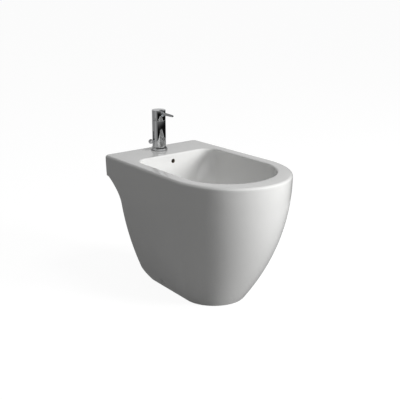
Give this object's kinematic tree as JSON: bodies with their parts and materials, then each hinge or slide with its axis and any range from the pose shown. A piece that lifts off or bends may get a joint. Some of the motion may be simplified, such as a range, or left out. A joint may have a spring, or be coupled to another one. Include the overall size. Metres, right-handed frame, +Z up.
{
  "type": "floor standing bidet",
  "caption": "Floor standing bidet in white china with a D-shaped bowl, a lever mixer tap on its deck and a pop-up waste worked by a lift knob.",
  "frame": {"origin": "on the floor, in the middle of the bidet's width and of its depth from wall face to front", "axes": "+Z up; the front of the bidet faces -Y and its back stands against a wall on +Y; +X is to the right of someone who looks at the front from -Y"},
  "size_m": [0.36, 0.57, 0.515],
  "materials": {
    "china": "smooth white glaze, high gloss",
    "chrome": "polished",
    "steel": "plain stainless",
    "brass": "machined, unplated",
    "rubber": "matt black",
    "white_plastic": "moulded, white",
    "grey_plastic": "moulded, grey"
  },
  "bodies": {
    "bidet": {"bidet_body": "china", "tap_body": "chrome", "base_ring": "chrome", "base_gasket": "rubber", "cartridge": "grey_plastic", "cartridge_nut": "brass", "aerator_collar": "chrome", "tap_stud": "steel", "horseshoe_gasket": "rubber", "horseshoe_washer": "steel", "tap_nut": "brass", "waste_flange": "chrome", "flange_gasket": "rubber", "waste_body": "chrome", "body_gasket": "rubber", "tailpiece": "chrome", "pivot_seal": "rubber", "pivot_nut": "chrome", "bracket_left": "white_plastic", "bracket_right": "white_plastic", "side_screws": "steel", "side_caps": "white_plastic"},
    "handle": {"handle_cap": "chrome", "cap_grub_screw": "steel", "cartridge_spindle": "brass", "lever_pin": "steel"},
    "lever": {"lever": "chrome"},
    "aerator": {"aerator_ball": "chrome", "aerator_screen": "steel"},
    "lift": {"lift_rod": "chrome", "lift_knob": "chrome", "strap": "steel", "strap_clamp": "brass", "clamp_screw": "steel"},
    "plug": {"plug": "chrome", "plug_seal": "rubber"},
    "pivot": {"pivot_rod": "steel"}
  },
  "joints": [
    {"name": "handle_turn", "type": "hinge", "parent": "bidet", "child": "handle", "pos_m": [0, 0.238, 0.49], "axis": [0, 0, 1], "range_deg": [-45, 45]},
    {"name": "lever_lift", "type": "hinge", "parent": "handle", "child": "lever", "pos_m": [0, 0.226, 0.506], "axis": [-1, 0, 0], "range_deg": [0, 25]},
    {"name": "aerator_tilt", "type": "hinge", "parent": "bidet", "child": "aerator", "pos_m": [0, 0.2198, 0.426], "axis": [1, 0, 0], "range_deg": [-15, 15]},
    {"name": "knob_lift", "type": "slide", "parent": "bidet", "child": "lift", "axis": [0, 0, 1], "range_m": [0, 0.028]},
    {"name": "plug_lift", "type": "slide", "parent": "bidet", "child": "plug", "axis": [0, 0, 1], "range_m": [-0.0057, 0]},
    {"name": "pivot_tilt", "type": "hinge", "parent": "bidet", "child": "pivot", "pos_m": [0, 0.09, 0.171], "axis": [1, 0, 0], "range_deg": [0, 10.9]}
  ],
  "couplings": [
    {"joint": "plug_lift", "follows": "knob_lift", "ratio": -0.2027},
    {"joint": "pivot_tilt", "follows": "knob_lift", "rad_per_m": 6.7568}
  ]
}
